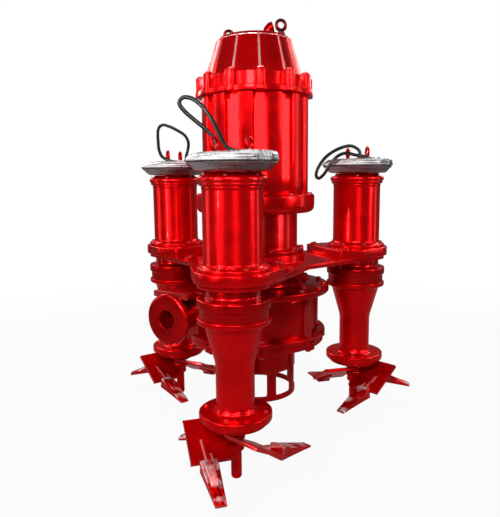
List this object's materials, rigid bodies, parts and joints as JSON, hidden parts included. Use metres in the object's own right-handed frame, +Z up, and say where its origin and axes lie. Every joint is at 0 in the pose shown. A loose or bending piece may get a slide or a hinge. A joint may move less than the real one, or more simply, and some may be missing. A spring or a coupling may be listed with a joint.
{
  "type": "submersible slurry pump with agitators",
  "caption": "Submersible slurry pump: upright motor, spiral casing and strainer, with satellite agitators on a spider plate, each with a cutter head and a coiled cable.",
  "frame": {"origin": "centre of the footprint at floor level, on which the agitator shaft ends stand", "axes": "+Z up along the pump shaft, -Y towards the viewer's agitator, +X to the viewer's right"},
  "size_m": [1.3774, 1.2584, 1.656],
  "materials": {
    "red_enamel": "gloss enamel over castings",
    "machined_steel": "machined steel",
    "cast_impeller": "cast high-chrome iron",
    "wound_core": "laminated core with copper windings",
    "seal_rings": "carbon and rubber seal rings",
    "cable_sheath": "black rubber sheath",
    "wrapped_cable": "coiled cable under pale stretch film"
  },
  "bodies": {
    "pump": {"agitator_cap_front": "red_enamel", "agitator_cap_left": "red_enamel", "agitator_cap_right": "red_enamel", "agitator_motor_front": "red_enamel", "agitator_motor_left": "red_enamel", "agitator_motor_right": "red_enamel", "back_plate": "red_enamel", "bearing_housing": "red_enamel", "bearing_tube_front": "red_enamel", "bearing_tube_left": "red_enamel", "bearing_tube_right": "red_enamel", "cable_coil_front": "wrapped_cable", "cable_coil_left": "wrapped_cable", "cable_coil_right": "wrapped_cable", "cable_elbow": "red_enamel", "cable_loop_front": "cable_sheath", "cable_loop_left": "cable_sheath", "cable_loop_right": "cable_sheath", "end_cover_front": "red_enamel", "end_cover_left": "red_enamel", "end_cover_right": "red_enamel", "end_shield": "red_enamel", "lower_bearing": "machined_steel", "main_stator": "wound_core", "mechanical_seal": "seal_rings", "motor_casing": "red_enamel", "motor_lid": "red_enamel", "reducer_front": "red_enamel", "reducer_left": "red_enamel", "reducer_right": "red_enamel", "shaft_bearing_front": "machined_steel", "shaft_bearing_left": "machined_steel", "shaft_bearing_right": "machined_steel", "spider_plate": "red_enamel", "suction_cover": "red_enamel", "suction_strainer": "red_enamel", "upper_bearing": "machined_steel", "volute_casing": "red_enamel"},
    "main_rotor_body": {"main_shaft": "machined_steel", "main_rotor": "machined_steel", "impeller": "cast_impeller"},
    "rotor_front": {"agitator_rotor_front": "machined_steel"},
    "head_front": {"output_shaft_front": "red_enamel", "cutter_head_front": "red_enamel", "tooth_front_1": "red_enamel", "tooth_front_2": "red_enamel", "tooth_front_3": "red_enamel"},
    "rotor_right": {"agitator_rotor_right": "machined_steel"},
    "head_right": {"output_shaft_right": "red_enamel", "cutter_head_right": "red_enamel", "tooth_right_1": "red_enamel", "tooth_right_2": "red_enamel", "tooth_right_3": "red_enamel"},
    "rotor_left": {"agitator_rotor_left": "machined_steel"},
    "head_left": {"output_shaft_left": "red_enamel", "cutter_head_left": "red_enamel", "tooth_left_1": "red_enamel", "tooth_left_2": "red_enamel", "tooth_left_3": "red_enamel"}
  },
  "joints": [
    {"name": "main_spin", "type": "hinge", "parent": "pump", "child": "main_rotor_body", "pos_m": [-0.04399, 0.13208, 0.88], "axis": [0, 0, 1], "continuous": true},
    {"name": "head_spin_front", "type": "hinge", "parent": "pump", "child": "head_front", "pos_m": [-0.11803, -0.34623, 0.35], "axis": [0, 0, 1], "continuous": true},
    {"name": "rotor_spin_front", "type": "hinge", "parent": "pump", "child": "rotor_front", "pos_m": [-0.11803, -0.34623, 0.85], "axis": [0, 0, 1], "continuous": true},
    {"name": "head_spin_right", "type": "hinge", "parent": "pump", "child": "head_right", "pos_m": [0.40726, 0.3071, 0.35], "axis": [0, 0, 1], "continuous": true},
    {"name": "rotor_spin_right", "type": "hinge", "parent": "pump", "child": "rotor_right", "pos_m": [0.40726, 0.3071, 0.85], "axis": [0, 0, 1], "continuous": true},
    {"name": "head_spin_left", "type": "hinge", "parent": "pump", "child": "head_left", "pos_m": [-0.42119, 0.43535, 0.35], "axis": [0, 0, 1], "continuous": true},
    {"name": "rotor_spin_left", "type": "hinge", "parent": "pump", "child": "rotor_left", "pos_m": [-0.42119, 0.43535, 0.85], "axis": [0, 0, 1], "continuous": true}
  ],
  "couplings": [
    {"joint": "rotor_spin_front", "follows": "head_spin_front", "ratio": 4},
    {"joint": "rotor_spin_right", "follows": "head_spin_right", "ratio": 4},
    {"joint": "rotor_spin_left", "follows": "head_spin_left", "ratio": 4}
  ]
}
